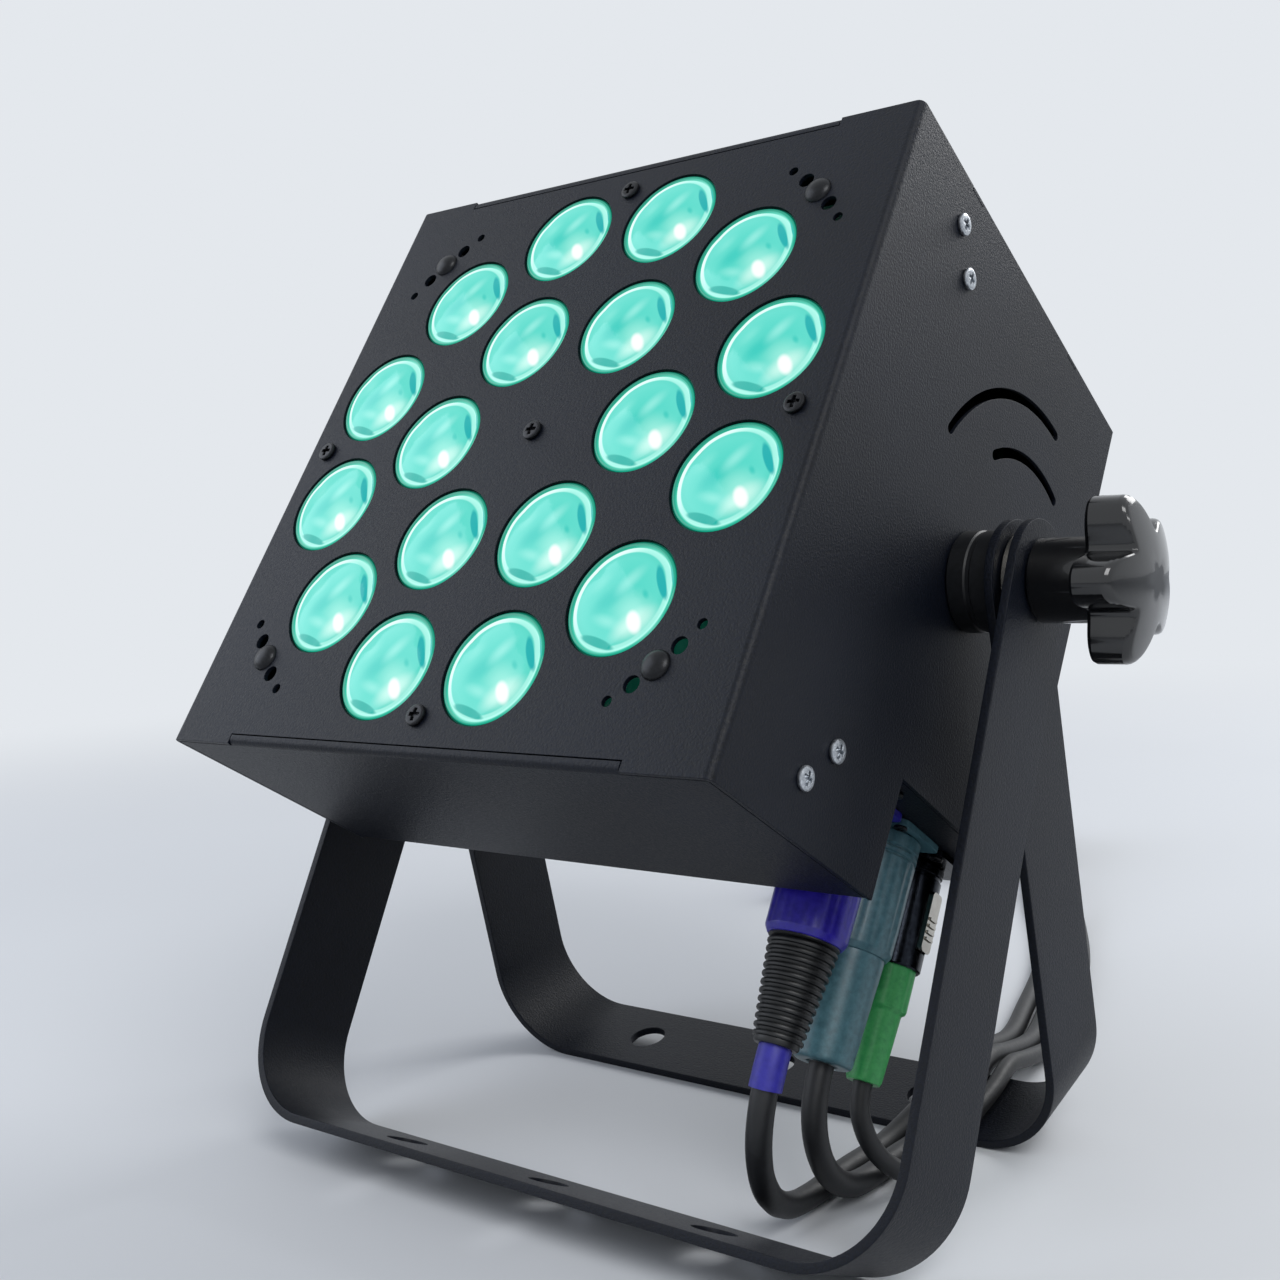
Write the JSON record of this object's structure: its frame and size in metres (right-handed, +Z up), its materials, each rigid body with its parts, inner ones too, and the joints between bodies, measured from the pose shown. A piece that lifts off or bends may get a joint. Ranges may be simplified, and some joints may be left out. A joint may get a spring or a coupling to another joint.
{
  "type": "led wash light",
  "caption": "Square black LED wash light with a face of round lenses, tilting between two flat steel yokes it stands on, with power and DMX leads hanging from a ledge below.",
  "frame": {"origin": "on the floor under the middle of the light, leads left out", "axes": "+Z up, +X to the light's right as seen from its lenses' side of the picture, -Y the way the lenses point"},
  "size_m": [0.339, 0.6338, 0.3369],
  "materials": {
    "powder_coat": "fine-textured black powder coat on folded steel sheet",
    "lit_lens": "polished acrylic collimator, lit cyan-green from behind",
    "white_board": "white solder mask on an aluminium-backed board",
    "circuit_board": "green solder mask",
    "heatsink_aluminium": "extruded, unpolished",
    "black_plastic": "moulded black plastic",
    "gloss_knob": "glossy black moulded nylon",
    "display_acrylic": "smoked acrylic",
    "nickel_plate": "nickel plate",
    "black_metal": "black chromed zinc shell with a rubber boot",
    "blue_plastic": "moulded blue plastic",
    "grey_plastic": "moulded grey plastic",
    "cord_rubber": "black rubber sheath"
  },
  "bodies": {
    "stand": {"rear_yoke": "powder_coat", "power_in_cord": "cord_rubber", "power_in_coil": "cord_rubber", "mains_plug": "cord_rubber", "power_link_cord": "cord_rubber", "power_link_coil": "cord_rubber", "link_end_plug": "blue_plastic", "dmx_cord": "cord_rubber", "dmx_coil": "cord_rubber", "dmx_end_plug": "black_metal"},
    "head": {"front_shell": "powder_coat", "top_panel": "powder_coat", "bottom_panel": "powder_coat", "rear_panel": "powder_coat", "connector_ledge": "powder_coat", "lens_01": "lit_lens", "lens_02": "lit_lens", "lens_03": "lit_lens", "lens_04": "lit_lens", "lens_05": "lit_lens", "lens_06": "lit_lens", "lens_07": "lit_lens", "lens_08": "lit_lens", "lens_09": "lit_lens", "lens_10": "lit_lens", "lens_11": "lit_lens", "lens_12": "lit_lens", "lens_13": "lit_lens", "lens_14": "lit_lens", "lens_15": "lit_lens", "lens_16": "lit_lens", "lens_17": "lit_lens", "lens_18": "lit_lens", "led_board": "white_board", "heatsink": "heatsink_aluminium", "fan_frame": "black_plastic", "driver_board": "circuit_board", "control_board": "circuit_board", "display_window": "display_acrylic", "power_in_socket": "blue_plastic", "power_link_socket": "grey_plastic", "dmx_in_socket": "nickel_plate", "dmx_out_socket": "nickel_plate", "fuse_holder": "black_plastic", "power_in_plug": "blue_plastic", "power_link_plug": "grey_plastic", "dmx_plug": "black_metal", "pivot_spacer_right": "black_plastic", "pivot_spacer_left": "black_plastic", "arm_washer_right": "nickel_plate", "arm_washer_left": "nickel_plate"},
    "front_yoke": {"front_yoke": "powder_coat"},
    "knob_right": {"star_knob_right": "gloss_knob"},
    "knob_left": {"star_knob_left": "gloss_knob"},
    "fan": {"fan_rotor": "black_plastic"},
    "button_1": {"menu_button_1": "black_plastic"},
    "button_2": {"menu_button_2": "black_plastic"},
    "button_3": {"menu_button_3": "black_plastic"},
    "button_4": {"menu_button_4": "black_plastic"},
    "dmx_latch": {"dmx_plug_latch": "nickel_plate"}
  },
  "joints": [
    {"name": "head_tilt", "type": "hinge", "parent": "stand", "child": "head", "pos_m": [0, 0.00523, 0.19281], "axis": [-1, 0, 0], "range_deg": [-32.7, 57.3], "deforming": ["power_in_cord", "power_link_cord", "dmx_cord"]},
    {"name": "front_yoke_swing", "type": "hinge", "parent": "stand", "child": "front_yoke", "pos_m": [0, 0.00523, 0.19281], "axis": [-1, 0, 0], "range_deg": [0, 154]},
    {"name": "knob_right_turn", "type": "hinge", "parent": "head", "child": "knob_right", "pos_m": [0.15, 0.00523, 0.19281], "axis": [1, 0, 0], "range_deg": [0, 360]},
    {"name": "knob_left_turn", "type": "hinge", "parent": "head", "child": "knob_left", "pos_m": [-0.15, 0.00523, 0.19281], "axis": [-1, 0, 0], "range_deg": [0, 360]},
    {"name": "fan_spin", "type": "hinge", "parent": "head", "child": "fan", "pos_m": [0, 0.07037, 0.17951], "axis": [0, 0.8415, -0.5402], "continuous": true},
    {"name": "button_1_press", "type": "slide", "parent": "head", "child": "button_1", "axis": [0, -0.8415, 0.5402], "range_m": [0, 0.0008], "stiffness_N_per_m": 400},
    {"name": "button_2_press", "type": "slide", "parent": "head", "child": "button_2", "axis": [0, -0.8415, 0.5402], "range_m": [0, 0.0008], "stiffness_N_per_m": 400},
    {"name": "button_3_press", "type": "slide", "parent": "head", "child": "button_3", "axis": [0, -0.8415, 0.5402], "range_m": [0, 0.0008], "stiffness_N_per_m": 400},
    {"name": "button_4_press", "type": "slide", "parent": "head", "child": "button_4", "axis": [0, -0.8415, 0.5402], "range_m": [0, 0.0008], "stiffness_N_per_m": 400},
    {"name": "dmx_latch_press", "type": "slide", "parent": "head", "child": "dmx_latch", "axis": [-1, 0, 0], "range_m": [0, 0.001], "stiffness_N_per_m": 600}
  ]
}
